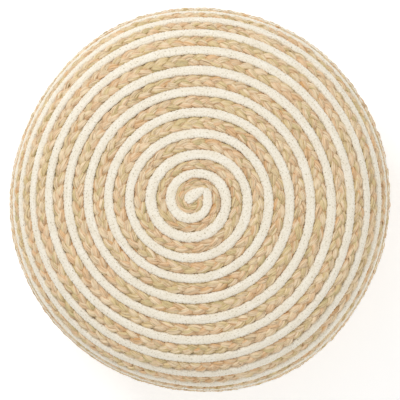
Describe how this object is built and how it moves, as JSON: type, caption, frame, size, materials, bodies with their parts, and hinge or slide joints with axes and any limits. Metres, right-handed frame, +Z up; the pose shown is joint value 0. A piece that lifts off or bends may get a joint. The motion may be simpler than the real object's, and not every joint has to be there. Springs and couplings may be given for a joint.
{
  "type": "round braided pouf",
  "caption": "Low round floor pouf with a domed top, covered by jute and cotton braids wound side by side in one spiral, with a zipped canvas underside.",
  "frame": {"origin": "middle of the underside, on the floor", "axes": "+Z up through the crown; +X along the zip, towards its closed end; the spiral winds outward clockwise seen from above"},
  "size_m": [0.4497, 0.4497, 0.27],
  "materials": {
    "jute": "dry plaited jute fibre",
    "cotton_braid": "natural unbleached braided cotton",
    "sewing_thread": "twisted polyester-cotton thread",
    "lining_cloth": "plain-weave cotton backing",
    "canvas": "heavy plain-weave cotton canvas",
    "inner_bag": "non-woven polypropylene",
    "filling": "loose shredded textile and beads",
    "zip_tape": "woven polyester tape",
    "zip_plastic": "moulded acetal",
    "zip_metal": "nickel-plated die casting"
  },
  "bodies": {
    "pouf": {"jute_braid": "jute", "cotton_braid": "cotton_braid", "joining_thread_inner": "sewing_thread", "joining_thread_outer": "sewing_thread", "cover_lining": "lining_cloth", "liner_top": "inner_bag", "liner_side": "inner_bag", "liner_base": "inner_bag", "filling": "filling", "base_panel_back": "canvas", "base_panel_front": "canvas", "base_seam": "sewing_thread", "zip_seam_back": "sewing_thread", "zip_seam_front": "sewing_thread", "zip_tape_back": "zip_tape", "zip_tape_front": "zip_tape", "zip_teeth_back": "zip_plastic", "zip_teeth_front": "zip_plastic", "zip_top_stops": "zip_plastic", "zip_bottom_stop": "zip_plastic"},
    "slider": {"zip_slider": "zip_metal"},
    "pull": {"zip_pull": "zip_metal"}
  },
  "joints": [
    {"name": "zip_slide", "type": "slide", "parent": "pouf", "child": "slider", "axis": [-1, 0, 0], "range_m": [0, 0.224], "deforming": ["zip_teeth_back", "zip_teeth_front"]},
    {"name": "pull_swing", "type": "hinge", "parent": "slider", "child": "pull", "pos_m": [0.108, 0, 0.00205], "axis": [0, -1, 0], "range_deg": [0, 180]}
  ]
}
